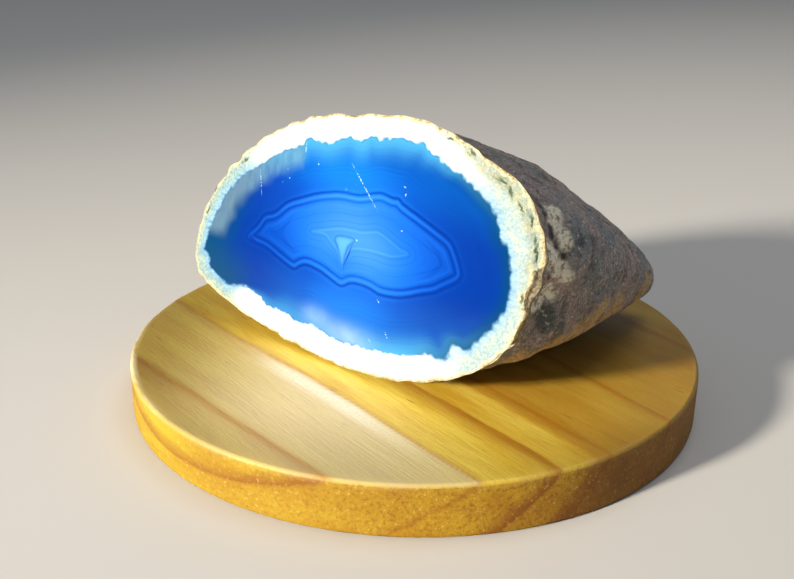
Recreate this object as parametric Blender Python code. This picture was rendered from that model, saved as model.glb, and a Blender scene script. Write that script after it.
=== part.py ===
"""A cut and polished agate nodule at rest on a round pine stand.

Metres, +Z up. The origin is the centre of the stand's underside, on the surface
it stands on. Seen along +Y, the cut face looks forward and to the left, and the
rough body narrows away to the right, to a blunt tip over the stand's edge.
"""
import math

import bmesh
import bpy
import numpy as np

# The stand is a plain disc, turned from one pine board.
STAND_DIAMETER = 0.1016
STAND_THICKNESS = 0.0087
STAND_EDGE_ROUND = 0.0006
STAND_SIDES = 96

# The nodule's own axes: x across the cut face, y up it and z straight out of it.
FACE_CENTRE = (-0.0120, -0.0086, 0.0304)
FACE_TURN = math.radians(42)
FACE_LEAN = math.radians(12)
CUT_OUTLINE = (
    (0.0383, 0.0000), (0.0390, 0.0070), (0.0343, 0.0139), (0.0244, 0.0186), (0.0128, 0.0217),
    (0.0000, 0.0207), (-0.0110, 0.0189), (-0.0200, 0.0153), (-0.0269, 0.0109), (-0.0322, 0.0058),
    (-0.0363, 0.0000), (-0.0391, -0.0078), (-0.0376, -0.0149), (-0.0252, -0.0190), (-0.0122, -0.0208),
    (0.0000, -0.0218), (0.0123, -0.0209), (0.0235, -0.0180), (0.0321, -0.0129), (0.0369, -0.0067),
)
HALF_WIDTH = 0.0394
HALF_HEIGHT = 0.0219

# The body behind the cut: a centre line to the tip, bowed a little to one side.
# Distances along the body are shares of its length.
TIP_END = (0.0294, -0.0034, -0.0555)
CENTRE_BOW = (-0.0035, 0.0, 0.0012)
TIP_RADIUS = 0.0029
WIDTH_TAPER = 1.32
HEIGHT_TAPER = 1.03
TIP_SQUARENESS = 17

# Where the body swells past that even taper: the side it swells toward, by how
# much, how far along, over what length, and how narrow the swell is around it.
SWELLS = (
    (math.radians(106), 0.0047, 0.50, 0.41, 3),
    (math.radians(180), 0.0120, 0.50, 0.42, 2),
    (math.radians(0), 0.0021, 0.50, 0.42, 3),
)

# Broad lumps and finer grain on the husk, which fade out at the clean cut
LUMP_HEIGHT = 0.00060
LUMP_SPACING = 0.016
GRAIN_HEIGHT = 0.00020
GRAIN_SPACING = 0.0055
RELIEF_STARTS = 0.08
WAVES_IN_A_SUM = 20

# The cut's rim is chipped all round.
RIM_RAGGEDNESS = 0.00022
RIM_SPACING = 0.0042
RIM_KEPT_TO = 0.02
RIM_GONE_BY = 0.12

# Behind the rim's right side the crust has broken away, down to a ledge, with a
# crest of loose crust beyond it.
LEDGE_SIDE = math.radians(0)
LEDGE_SPREAD = math.radians(46)
LEDGE_DEPTH = 0.0010
LEDGE_LIP = 0.01
LEDGE_FROM = 0.035
LEDGE_TO = 0.11
CREST_HEIGHT = 0.0006
CREST_FROM = 0.14
CREST_TO = 0.18
CREST_GONE_BY = 0.30

# Shallow pits, scattered
PIT_COUNT = 22
PIT_RADII = (0.0018, 0.0038)
PIT_DEPTHS = (0.0004, 0.0009)
PIT_CLEAR_ROWS = 6

# The stone stands on a small flat spot, a hair above the wood.
REST_GAP = 0.0003

COLUMNS = 112
ROWS = 36
ROWS_CROWD_THE_CUT = 1.15

HUSK_COLOUR = (0.22, 0.19, 0.17)
AGATE_COLOUR = (0.02, 0.16, 0.72)
PINE_COLOUR = (0.72, 0.45, 0.16)


def material(name, colour, roughness):
    """A Principled material with a plain colour."""
    made = bpy.data.materials.new(name)
    made.use_nodes = True
    shader = made.node_tree.nodes["Principled BSDF"]
    shader.inputs["Base Color"].default_value = (*colour, 1.0)
    shader.inputs["Roughness"].default_value = roughness
    shader.inputs["Metallic"].default_value = 0.0
    made.diffuse_color = (*colour, 1.0)
    return made


def add_object(name, mesh, location=(0.0, 0.0, 0.0), rotation=(0.0, 0.0, 0.0)):
    """Link a mesh to the scene as a named object."""
    placed = bpy.data.objects.new(name, mesh)
    placed.location = location
    placed.rotation_euler = rotation
    bpy.context.scene.collection.objects.link(placed)
    return placed


def closed_curve(points, count):
    """Catmull-Rom curve through a closed ring of points, sampled evenly by index."""
    ring = np.asarray(points)
    place = np.linspace(0.0, len(ring), count, endpoint=False)
    first = place.astype(int)
    t = (place - first)[:, None]
    before, start, end, after = (ring[(first + step) % len(ring)] for step in (-1, 0, 1, 2))
    return 0.5 * (
        2 * start
        + (end - before) * t
        + (2 * before - 5 * start + 4 * end - after) * t**2
        + (3 * start - before - 3 * end + after) * t**3
    )


def waves(points, spacing, seed):
    """Smooth lumps of height about -1 to 1: a sum of plane waves in random directions."""
    draw = np.random.RandomState(seed)
    headings = draw.normal(size=(WAVES_IN_A_SUM, 3))
    headings /= np.linalg.norm(headings, axis=1, keepdims=True)
    phases = draw.uniform(0.0, 2 * math.pi, WAVES_IN_A_SUM)
    total = np.sin(points @ headings.T * (2 * math.pi / spacing) + phases).sum(axis=-1)
    return total / (1.5 * WAVES_IN_A_SUM**0.5)


def ramp(value, start, end):
    """Rise smoothly from 0 at start to 1 at end."""
    share = np.clip((value - start) / (end - start), 0.0, 1.0)
    return share * share * (3.0 - 2.0 * share)


def turn_between(angle, other):
    """The smallest turn between two angles."""
    return np.abs((angle - other + math.pi) % (2 * math.pi) - math.pi)


def body_rings():
    """Rings of points from the cut face to the tip, in the nodule's own axes.

    Each ring lies parallel to the cut. Its shape fades from the cut's outline to a
    small circle, and its size closes at the tip as the root of 1 - along^squareness.
    """
    outline = closed_curve(CUT_OUTLINE, COLUMNS)
    angle = np.arctan2(outline[:, 1] / HALF_HEIGHT, outline[:, 0] / HALF_WIDTH)
    share = np.linspace(0.0, 1.0, ROWS)
    along = np.sin(0.5 * math.pi * share**ROWS_CROWD_THE_CUT)[:, None]

    width_fade = along**WIDTH_TAPER
    height_fade = along**HEIGHT_TAPER
    across = (1 - width_fade) * outline[:, 0] + width_fade * TIP_RADIUS * np.cos(angle)
    up = (1 - height_fade) * outline[:, 1] + height_fade * TIP_RADIUS * np.sin(angle)

    radius = np.hypot(across, up)
    grown = radius + swelling(along, angle)
    closing = np.sqrt(np.clip(1 - along**TIP_SQUARENESS, 0.0, 1.0))
    across = across * grown / radius * closing
    up = up * grown / radius * closing

    centre = along * np.array(TIP_END) + 4 * along * (1 - along) * np.array(CENTRE_BOW)
    rings = np.empty((ROWS, COLUMNS, 3))
    rings[:, :, 0] = across
    rings[:, :, 1] = up
    rings[:, :, 2] = 0.0
    radius = np.hypot(across, up)
    outward = rings / np.maximum(radius, 1e-9)[:, :, None]
    rings += centre[:, None, :]
    rings += outward * husk_relief(rings, along, angle, radius)[:, :, None]
    return rest_flat(rings)


def swelling(along, angle):
    """Sum of the swells, each a bell along the body that is nothing at the cut."""
    total = 0.0
    for toward, height, at, length, sharpness in SWELLS:
        bell = np.exp(-(((along - at) / length) ** 2))
        start = math.exp(-((at / length) ** 2))
        side = (0.5 + 0.5 * np.cos(angle - toward)) ** sharpness
        total = total + height * side * (bell - start * (1 - along))
    return total


def husk_relief(rings, along, angle, radius):
    """How far the husk stands out or in: lumps, grain, a broken ledge and pits."""
    at_rim = 1 - ramp(along, RIM_KEPT_TO, RIM_GONE_BY)
    behind_rim = ramp(along, 0.0, RELIEF_STARTS)
    relief = RIM_RAGGEDNESS * waves(rings, RIM_SPACING, 3) * at_rim
    relief = relief + LUMP_HEIGHT * waves(rings, LUMP_SPACING, 5) * behind_rim
    relief = relief + GRAIN_HEIGHT * waves(rings, GRAIN_SPACING, 8) * behind_rim

    beside = np.exp(-((turn_between(angle, LEDGE_SIDE) / LEDGE_SPREAD) ** 4))
    ledge = ramp(along, LEDGE_LIP, LEDGE_FROM) * (1 - ramp(along, LEDGE_TO, CREST_FROM))
    crest = ramp(along, LEDGE_TO, CREST_FROM) * (1 - ramp(along, CREST_TO, CREST_GONE_BY))
    relief = relief + beside * (CREST_HEIGHT * crest - LEDGE_DEPTH * ledge)

    draw = np.random.RandomState(11)
    for _ in range(PIT_COUNT):
        row = draw.randint(PIT_CLEAR_ROWS, ROWS - PIT_CLEAR_ROWS)
        column = draw.randint(0, COLUMNS)
        away = np.linalg.norm(rings - rings[row, column], axis=2) / draw.uniform(*PIT_RADII)
        relief = relief - draw.uniform(*PIT_DEPTHS) * np.exp(-(away**2))
    return relief * np.clip(radius / TIP_RADIUS, 0.0, 1.0)


def rest_flat(rings):
    """Lift whatever is below the resting height to it, within each ring's own plane."""
    rest_height = STAND_THICKNESS + REST_GAP - FACE_CENTRE[2]
    lowest = (rest_height - rings[:, :, 2] * math.sin(FACE_LEAN)) / math.cos(FACE_LEAN)
    rings[:, :, 1] = np.maximum(rings[:, :, 1], lowest)
    return rings


def agate_nodule():
    """The stone, one piece: the flat cut face, the tapering husk and the blunt tip."""
    rings = body_rings()
    corners = rings[:-1].reshape(-1, 3).tolist()
    corners.append(rings[-1, 0].tolist())
    tip = len(corners) - 1
    faces = [list(range(COLUMNS))]
    for row in range(ROWS - 2):
        for column in range(COLUMNS):
            beside = (column + 1) % COLUMNS
            here = row * COLUMNS
            faces.append([here + column, here + COLUMNS + column, here + COLUMNS + beside, here + beside])
    last = (ROWS - 2) * COLUMNS
    for column in range(COLUMNS):
        faces.append([last + column, tip, last + (column + 1) % COLUMNS])

    mesh = bpy.data.meshes.new("agate_nodule")
    mesh.from_pydata(corners, [], faces)
    mesh.shade_smooth()
    mesh.set_sharp_from_angle(angle=math.radians(50))
    mesh.materials.append(material("rough_husk", HUSK_COLOUR, 0.85))
    mesh.materials.append(material("polished_blue_agate", AGATE_COLOUR, 0.08))
    mesh.polygons[0].material_index = 1
    return add_object(
        "agate_nodule",
        mesh,
        location=FACE_CENTRE,
        rotation=(math.pi / 2 - FACE_LEAN, 0.0, -FACE_TURN),
    )


def wooden_stand():
    """The pine disc, with both rims just eased."""
    mesh = bpy.data.meshes.new("wooden_stand")
    disc = bmesh.new()
    bmesh.ops.create_cone(
        disc,
        cap_ends=True,
        segments=STAND_SIDES,
        radius1=STAND_DIAMETER / 2,
        radius2=STAND_DIAMETER / 2,
        depth=STAND_THICKNESS,
    )
    disc.to_mesh(mesh)
    disc.free()
    mesh.shade_smooth()
    mesh.set_sharp_from_angle(angle=math.radians(40))
    mesh.materials.append(material("lacquered_pine", PINE_COLOUR, 0.45))
    stand = add_object("wooden_stand", mesh, location=(0.0, 0.0, STAND_THICKNESS / 2))
    rims = stand.modifiers.new("eased rims", "BEVEL")
    rims.width = STAND_EDGE_ROUND
    rims.segments = 2
    rims.limit_method = "ANGLE"
    rims.angle_limit = math.radians(60)
    return stand


def main():
    for old in list(bpy.data.objects):
        bpy.data.objects.remove(old, do_unlink=True)
    wooden_stand()
    agate_nodule()


main()
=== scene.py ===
"""A cut and polished agate nodule at rest on a round pine stand.

Metres, +Z up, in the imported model's own frame: the origin is the centre of the
stand's underside. Seen along +Y, the cut face looks forward and to the left.
"""
import itertools
import math

import bpy
import numpy as np
from mathutils import Euler, Matrix, Vector


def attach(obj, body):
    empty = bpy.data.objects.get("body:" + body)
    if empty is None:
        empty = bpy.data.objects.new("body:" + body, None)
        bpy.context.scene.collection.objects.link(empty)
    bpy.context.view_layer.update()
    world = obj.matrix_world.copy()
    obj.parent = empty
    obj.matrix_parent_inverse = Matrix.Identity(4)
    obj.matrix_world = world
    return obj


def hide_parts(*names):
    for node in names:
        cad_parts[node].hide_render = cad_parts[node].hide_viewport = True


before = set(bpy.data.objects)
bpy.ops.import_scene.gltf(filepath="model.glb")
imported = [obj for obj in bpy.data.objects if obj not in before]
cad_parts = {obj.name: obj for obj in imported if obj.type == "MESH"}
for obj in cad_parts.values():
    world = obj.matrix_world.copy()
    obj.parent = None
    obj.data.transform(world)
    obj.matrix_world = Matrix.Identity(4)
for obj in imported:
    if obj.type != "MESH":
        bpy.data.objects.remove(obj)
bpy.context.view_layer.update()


# The studio: a pale matt floor, a softbox with a grid low on the left, a wide dim one
# overhead behind, and a dim even sky.
# The camera stands where the photograph was taken from, 17 cm in front of the stand
# and 8 cm above it, with the same field of view.
CAMERA_PLACE = (-0.00315, -0.16802, 0.08250)
CAMERA_DOWN = math.radians(21.03)
CAMERA_ROLL = math.radians(0.57)
CAMERA_LENS_MM = 45.07
CAMERA_SENSOR_MM = 36.0
CAMERA_NEAREST = 0.01
FLOOR_HALF_WIDTH = 3.0
FLOOR_DROP = 0.00005
LAMP_AIM_HEIGHT = 0.03
LAMPS = (
    # Name, degrees round from -X, degrees of rise, distance, width, degrees of spread, watts and colour.
    ("key_softbox", 36, 17, 1.3, 0.15, 38, 1.95, (1.0, 0.94, 0.83)),
    ("top_softbox", 214, 74, 0.9, 0.5, 180, 2.2, (0.95, 0.97, 1.0)),
)
SKY_COLOUR = (0.80, 0.88, 1.0)
SKY_STRENGTH = 0.28
# Settings of a mix of two colours, and of the sums a times b, and a times b plus c.
RGBA = {"out": 2, "data_type": "RGBA"}
TIMES = {"operation": "MULTIPLY"}
TIMES_PLUS = {"operation": "MULTIPLY_ADD"}
# A noise's sockets, in the order of a row.
NOISE = ("Vector", "Scale", "Detail", "Roughness")


def srgb(code):
    """A linear colour from an sRGB hex code: (c + 0.055) / 1.055 to the power 2.4, or c / 12.92 when dark."""
    parts = [int(code[i:i + 2], 16) / 255 for i in (1, 3, 5)]
    return tuple(c / 12.92 if c <= 0.04045 else ((c + 0.055) / 1.055) ** 2.4 for c in parts) + (1.0,)


def plug(tree, node, sockets):
    """Set or link a node's inputs. A colour is given as its hex code or as four linear values."""
    for name, value in sockets.items():
        if isinstance(value, bpy.types.NodeSocket):
            tree.links.new(value, node.inputs[name])
        else:
            node.inputs[name].default_value = srgb(value) if isinstance(value, str) else value


def add(tree, kind, sockets=None, out=0, stops=(), **settings):
    """Add a shader node with its settings, plug its sockets, and give back one of its outputs."""
    made = tree.nodes.new("ShaderNode" + kind)
    for name, value in settings.items():
        setattr(made, name, value)
    plug(tree, made, sockets or {})
    if stops:
        ramp = made.color_ramp
        for _ in stops[2:]:
            ramp.elements.new(1.0)
        for element, (place, colour) in zip(ramp.elements, stops):
            element.position = place
            element.color = srgb(colour) if isinstance(colour, str) else colour
    return made.outputs[out]


def start_material(name):
    """A new material, its node tree and its Principled shader."""
    made = bpy.data.materials.new(name)
    made.use_nodes = True
    return made, made.node_tree, made.node_tree.nodes["Principled BSDF"]


def put_in_scene(name, data):
    """An object that shows this mesh, lamp or camera."""
    made = bpy.data.objects.new(name, data)
    bpy.context.scene.collection.objects.link(made)
    return made


def make_floor():
    """One square, centred under the stand: x and y from -w to w."""
    w = FLOOR_HALF_WIDTH
    mesh = bpy.data.meshes.new("floor")
    corners = [(x, y, -FLOOR_DROP) for x, y in ((-w, -w), (w, -w), (w, w), (-w, w))]
    mesh.from_pydata(corners, [], [(0, 1, 2, 3)])
    made, tree, shader = start_material("matt_paper")
    tone = add(tree, "TexNoise", {"Scale": 9.0, "Detail": 3.0})
    tint = add(tree, "Mix", {0: tone, 6: "#bdb8b0", 7: "#c4bfb8"}, **RGBA)
    plug(tree, shader, {"Base Color": tint, "Roughness": 0.75})
    mesh.materials.append(made)
    return put_in_scene("floor", mesh)


def make_lamp(name, turn, lift, away, width, spread, watts, colour):
    """A round lamp, turned to face the stone from its direction and rise."""
    turn, lift = math.radians(turn), math.radians(lift)
    toward = Vector((-math.cos(turn) * math.cos(lift), -math.sin(turn) * math.cos(lift), math.sin(lift)))
    lamp = bpy.data.lights.new(name, "AREA")
    lamp.shape = "DISK"
    lamp.size = width
    lamp.spread = math.radians(spread)
    lamp.energy = watts
    lamp.color = colour
    placed = put_in_scene(name, lamp)
    placed.location = toward * away + Vector((0.0, 0.0, LAMP_AIM_HEIGHT))
    placed.rotation_euler = toward.to_track_quat("Z", "Y").to_euler()


def make_sky():
    """The same dim light from every side."""
    sky = bpy.data.worlds.new("sky")
    sky.use_nodes = True
    background = sky.node_tree.nodes["Background"]
    background.inputs["Color"].default_value = (*SKY_COLOUR, 1.0)
    background.inputs["Strength"].default_value = SKY_STRENGTH
    bpy.context.scene.world = sky


def make_camera():
    """Look along -Z turned up from straight down, then rolled about the line of sight."""
    lens = bpy.data.cameras.new("camera")
    lens.lens = CAMERA_LENS_MM
    lens.sensor_width = CAMERA_SENSOR_MM
    lens.clip_start = CAMERA_NEAREST
    camera = put_in_scene("camera", lens)
    turn = Matrix.Rotation(math.pi / 2 - CAMERA_DOWN, 4, "X") @ Matrix.Rotation(CAMERA_ROLL, 4, "Z")
    camera.matrix_world = Matrix.Translation(CAMERA_PLACE) @ turn
    bpy.context.scene.camera = camera


make_floor()
for lamp in LAMPS:
    make_lamp(*lamp)
make_sky()
make_camera()
bpy.context.scene.view_settings.view_transform = "Standard"


# The nodule: one natural stone. A white quartz rind and then banded chalcedony grew
# inward from a rough husk; the stone was sawn across, and the cut ground flat and
# polished, with the blue taken up by the bands as a dye. It stands on a small flat.
FACE_CENTRE = (-0.0120, -0.0086, 0.0304)
FACE_TURN = math.radians(42)
FACE_LEAN = math.radians(12)
CUT_OUTLINE = (
    (0.0383, 0.0000), (0.0390, 0.0070), (0.0343, 0.0139), (0.0244, 0.0186), (0.0128, 0.0217),
    (0.0000, 0.0207), (-0.0110, 0.0189), (-0.0200, 0.0153), (-0.0269, 0.0109), (-0.0322, 0.0058),
    (-0.0363, 0.0000), (-0.0391, -0.0078), (-0.0376, -0.0149), (-0.0252, -0.0190), (-0.0122, -0.0208),
    (0.0000, -0.0218), (0.0123, -0.0209), (0.0235, -0.0180), (0.0321, -0.0129), (0.0369, -0.0067),
)
HALF_WIDTH = 0.0394
HALF_HEIGHT = 0.0219
TIP_END = (0.0294, -0.0034, -0.0555)
CENTRE_BOW = (-0.0035, 0.0, 0.0012)
TIP_RADIUS = 0.0029
WIDTH_TAPER = 1.32
HEIGHT_TAPER = 1.03
TIP_SQUARENESS = 17
TIP_CROWDING = 1.25
# Swellings of the body: toward which degrees, height, where along, length and sharpness.
SWELLS = (
    (106, 0.0047, 0.50, 0.41, 3),
    (180, 0.0120, 0.50, 0.42, 2),
    (0, 0.0021, 0.50, 0.42, 3),
)
REST_HEIGHT = 0.00875
COLUMNS = 440
ROWS = 158
FACE_RINGS = 60
SPINE_SHARE = 0.55
SHARP_ANGLE = math.radians(48)
# The strip of rim that is broken away on the right.
BROKEN_WIDTH_MM = 1.3
BROKEN_DEPTH_MM = 0.8
# What the cut's fields are on the husk, where they aren't 0.
BEYOND_CUT = {"rind_mm": -5.0, "band_mm": -20.0, "eye_mm": -20.0, "patch_mm": -20.0, "lip": 0.6}

# Where the bands run on the cut, in millimetres from its centre, across and up.
RIND_EDGE = (
    (-13.7, 13.6), (-18.6, 11.6), (-21.7, 9.6), (-26.0, 7.1), (-28.5, 4.9), (-31.7, 1.9), (-33.3, -1.1),
    (-34.9, -3.9), (-35.9, -7.2), (-36.4, -9.4), (-36.5, -10.4), (-34.8, -11.2), (-34.2, -13.0),
    (-29.8, -14.9), (-26.9, -15.1), (-23.8, -14.4), (-19.9, -15.2), (-16.1, -16.5), (-12.3, -16.5),
    (-7.9, -17.1), (-4.6, -16.7), (-0.2, -17.7), (3.2, -17.7), (7.8, -17.2), (11.4, -16.9), (13.8, -16.5),
    (17.8, -15.5), (20.9, -14.3), (23.2, -14.5), (25.4, -13.3), (25.8, -11.5), (28.1, -11.4), (30.0, -9.7),
    (32.1, -7.0), (33.5, -4.9), (34.3, -3.2), (34.5, -1.4), (34.0, 2.1), (32.8, 5.6), (31.0, 7.1),
    (30.0, 9.8), (27.3, 12.0), (23.8, 14.0), (21.7, 14.9), (19.7, 15.3), (17.4, 16.6), (15.7, 17.1),
    (13.9, 18.2), (10.9, 18.2), (7.9, 18.3), (4.6, 17.6), (2.3, 17.6), (0.8, 16.4), (-2.1, 16.9),
    (-6.6, 15.2), (-9.0, 15.2), (-12.0, 15.1),
)
DOUBLE_BAND = (
    (-22.5, -5.7), (-19.1, -6.0), (-15.1, -7.2), (-11.4, -8.1), (-9.8, -7.2), (-8.1, -6.6), (-4.8, -6.9),
    (-2.1, -7.6), (0.6, -8.2), (2.6, -7.2), (4.9, -6.9), (7.2, -7.0), (9.6, -7.4), (13.9, -6.8),
    (17.8, -5.3), (20.4, -4.3), (22.1, -3.2), (23.9, -2.0), (24.9, -1.1), (25.1, 0.2), (23.4, 3.0),
    (22.0, 4.4), (19.8, 5.3), (15.4, 6.8), (11.7, 8.0), (10.5, 8.7), (9.2, 8.6), (6.3, 8.9), (2.0, 7.7),
    (-2.6, 7.4), (-7.3, 6.3), (-11.1, 4.9), (-14.9, 3.3), (-17.9, 0.9), (-20.6, -0.2), (-22.3, -2.4),
    (-24.9, -5.0),
)
EYE_LINE = (
    (-6.5, -0.4), (-4.5, -0.4), (-3.1, -1.3), (-1.3, -2.5), (-0.5, -4.2), (0.3, -5.8), (0.3, -4.1),
    (0.8, -2.9), (1.5, -1.7), (3.0, -1.1), (4.7, -0.9), (7.1, -0.7), (10.4, -0.7), (12.5, -0.2),
    (14.1, 0.5), (12.3, 0.8), (9.3, 1.9), (7.6, 2.4), (6.5, 2.4), (3.7, 1.7), (1.8, 1.6), (-1.4, 1.3),
    (-4.7, 0.4), (-8.0, -0.5),
)
EYE_PATCH = (
    (-1.5, -1.5), (-0.9, -2.6), (-0.2, -4.2), (0.3, -5.5), (0.3, -4.1), (0.5, -2.5), (0.9, -1.1),
    (1.9, 0.1), (-1.0, 0.0), (-2.1, -0.5),
)

# Brighter places in the blue, partly its own lighter tone and partly a painted glow of light inside the stone:
# across, up, half width and half height in mm, and how much.
GLOWS = (
    (1.0, 1.6, 15.0, 6.5, 0.66), (8.0, -3.2, 9.0, 4.0, 0.30), (-6.5, -3.2, 6.0, 3.5, 0.16),
    (0.0, 10.8, 17.0, 5.5, 0.44), (3.0, -11.4, 15.0, 5.5, 0.50),
)
# Milky places at the bottom of the blue, given in the same way.
MILKY = ((3.5, -16.4, 5.5, 2.0, 0.9), (-4.5, -14.8, 3.2, 1.6, 0.55))
# Scratches and chips in the polish: where, degrees, and half length and half width in mm.
SCRATCHES = (
    (2.8, 9.2, -43.0, 5.9, 0.16), (-22.6, 5.6, -76.0, 3.2, 0.10), (-12.1, 13.4, -86.0, 1.6, 0.14),
    (8.7, -15.5, -50.0, 0.6, 0.16), (12.1, -13.6, -52.0, 1.1, 0.14), (9.4, -8.6, -40.0, 0.6, 0.12),
    (-1.3, 8.1, 60.0, 0.30, 0.22), (0.8, 9.4, 80.0, 0.26, 0.20), (11.4, 10.8, 0.0, 0.32, 0.18),
    (11.8, 9.6, 70.0, 0.30, 0.20), (2.8, 0.2, 0.0, 0.30, 0.28), (12.1, 3.8, 0.0, 0.22, 0.18),
    (-16.8, 6.5, 0.0, 0.24, 0.20), (-15.2, 7.5, 0.0, 0.18, 0.16), (-17.4, 8.2, 0.0, 0.18, 0.15),
    (-16.0, 8.9, 0.0, 0.16, 0.15), (-8.5, 11.1, 0.0, 0.24, 0.20),
)
# Dark flaws in the bands: at the left corner of the double band, and along the eye's right edge.
FLAWS = ((-23.1, -5.1, -24.0, 1.9, 0.30), (1.25, -2.7, 72.0, 2.7, 0.26))
# Hollows in the rind: across, up, degrees, half length, half width and depth in mm.
HOLLOWS = (
    (29.5, 15.0, -8.0, 1.5, 0.30, 0.45), (31.3, 13.8, -56.0, 1.8, 0.28, 0.45),
    (35.7, 10.3, -76.0, 1.6, 0.26, 0.50), (36.7, 7.9, -70.0, 1.1, 0.26, 0.40),
    (37.5, 5.8, -80.0, 2.3, 0.30, 0.55), (33.6, 11.9, -48.0, 1.5, 0.24, 0.35),
    (23.3, 18.2, -30.0, 1.1, 0.28, 0.30), (36.5, -1.0, 84.0, 1.0, 0.28, 0.30),
    (18.6, 19.6, -16.0, 1.0, 0.28, 0.25), (-36.6, -2.5, 62.0, 1.3, 0.30, 0.22),
    (-27.5, 8.6, 36.0, 1.2, 0.30, 0.20),
)
# Patches on the husk: across, up, out and reach in mm.
HUSK_PATCHES = {
    "crust": (
        (35.4, 11.6, -5.8, 1.6), (36.3, 10.5, -5.3, 1.5), (37.4, 9.0, -5.6, 1.4), (38.2, 7.5, -6.0, 1.3),
        (38.2, 6.9, -2.2, 1.5), (38.4, 5.2, -3.1, 1.8), (38.4, 3.9, -5.0, 1.7), (38.9, 2.7, -6.6, 1.3),
        (37.5, 1.0, -4.5, 1.1), (37.0, -1.1, -4.0, 1.5), (37.6, -0.3, -5.9, 1.0), (37.0, -2.0, -3.0, 1.1),
        (-30.0, 3.0, -8.0, 3.0), (5.0, 21.0, -5.0, 2.2), (-12.0, 19.0, -12.0, 2.0),
        (-26.0, -9.0, -20.0, 2.4),
    ),
    "crack": (
        (34.4, 12.4, -3.8, 0.9), (35.3, 11.3, -3.4, 0.8), (36.8, 9.7, -3.9, 0.6), (37.4, 8.6, -3.8, 0.6),
        (38.2, 6.9, -4.3, 0.5), (38.7, 5.6, -5.8, 0.6), (38.9, 4.2, -7.3, 0.6), (38.0, 2.4, -3.4, 0.7),
        (37.6, 2.6, -1.0, 0.8), (37.4, 1.2, -1.2, 0.8), (37.2, 0.0, -1.4, 0.8),
    ),
    "moss": (
        (37.7, -4.8, -6.6, 1.9), (37.8, -6.6, -10.5, 2.1), (37.0, -3.3, -4.9, 1.4),
        (-20.0, -12.0, -14.0, 3.0), (24.0, 16.0, -3.5, 1.6),
    ),
    # Ochre: stains, and, low on the right under the cut, painted light bounced up from the board.
    "ochre_and_bounce": (
        (37.6, -5.2, -22.6, 3.2), (36.0, -7.4, -18.0, 3.0), (36.4, -5.4, -30.0, 3.6),
        (34.0, -3.0, -44.0, 3.6), (33.0, -12.0, -8.0, 3.0), (36.0, -9.4, -13.0, 2.6),
        (27.0, 2.0, -56.0, 3.0), (-6.0, 20.0, -30.0, 4.0), (-30.0, -6.0, -24.0, 5.0),
    ),
    "slate": (
        (39.0, 8.4, -10.5, 4.0), (38.9, 4.4, -15.2, 4.5), (34.5, 9.3, -22.5, 4.5), (32.6, 1.8, -42.9, 6.0),
        (36.0, 0.0, -22.0, 5.0), (-5.0, 18.0, -20.0, 8.0), (-18.0, 2.0, -26.0, 7.0),
    ),
}


def closed_curve(points, count):
    """Catmull-Rom curve through a closed ring of points, sampled evenly by index."""
    ring = np.asarray(points, float)
    place = np.linspace(0.0, len(ring), count, endpoint=False)
    first = place.astype(int)
    t = (place - first)[:, None]
    before, start, end, after = (ring[(first + step) % len(ring)] for step in (-1, 0, 1, 2))
    return 0.5 * (
        2 * start
        + (end - before) * t
        + (2 * before - 5 * start + 4 * end - after) * t**2
        + (3 * start - before - 3 * end + after) * t**3
    )


def waves(points, spacing, seed):
    """Smooth lumps of height about -1 to 1: a sum of 20 plane sines in random directions."""
    draw = np.random.RandomState(seed)
    count = 20
    headings = draw.normal(size=(count, 3))
    headings /= np.linalg.norm(headings, axis=1, keepdims=True)
    phases = draw.uniform(0.0, 2 * math.pi, count)
    return np.sin(points @ headings.T * (2 * math.pi / spacing) + phases).sum(axis=-1) / (1.5 * count**0.5)


def grit(points, spacing, seed):
    """Uneven noise from -1 to 1: random heights at the corners of cubes one spacing wide, blended between.

    The cubes repeat after 48 of them.
    """
    cubes = 48
    heights = np.random.RandomState(seed).uniform(-1, 1, (cubes, cubes, cubes))
    scaled = points / spacing + cubes / 2
    cell = np.floor(scaled).astype(int)
    part = scaled - cell
    part = part * part * (3 - 2 * part)
    total = 0.0
    for corner in itertools.product((0, 1), repeat=3):
        share = np.prod(np.where(corner, part, 1 - part), axis=-1)
        at = (cell + corner) % cubes
        total += share * heights[at[..., 0], at[..., 1], at[..., 2]]
    return total


def rise(value, start, end):
    """Rise smoothly from 0 at start to 1 at end: 3t^2 - 2t^3 of the share t of the way."""
    share = np.clip((value - start) / (end - start), 0.0, 1.0)
    return share * share * (3.0 - 2.0 * share)


def turn_between(angle, other):
    """The smallest turn between two angles."""
    return np.abs((angle - other + math.pi) % (2 * math.pi) - math.pi)


def depth_inside(points, ring):
    """Distance to a closed ring, positive inside it: the least over its sides, signed by crossings."""
    start = ring[None, :, :]
    side = np.roll(ring, -1, axis=0)[None, :, :] - start
    reach = points[:, None, :] - start
    share = np.clip((reach * side).sum(-1) / (side**2).sum(-1), 0.0, 1.0)
    away = np.linalg.norm(reach - share[..., None] * side, axis=-1).min(axis=1)
    above = reach[..., 1] >= 0
    ends_above = reach[..., 1] - side[..., 1] >= 0
    turn = side[..., 0] * reach[..., 1] - side[..., 1] * reach[..., 0]
    crossed = (above != ends_above) & ((turn > 0) == (side[..., 1] > 0))
    return np.where(crossed.sum(axis=1) % 2 == 1, away, -away)


def swelling(along, angle):
    """Sum of the swells, each a bell along the body that is nothing at the cut."""
    total = 0.0
    for toward, height, at, length, sharpness in SWELLS:
        bell = np.exp(-(((along - at) / length) ** 2)) - math.exp(-((at / length) ** 2)) * (1 - along)
        total += height * (0.5 + 0.5 * np.cos(angle - math.radians(toward))) ** sharpness * bell
    return total


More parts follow.
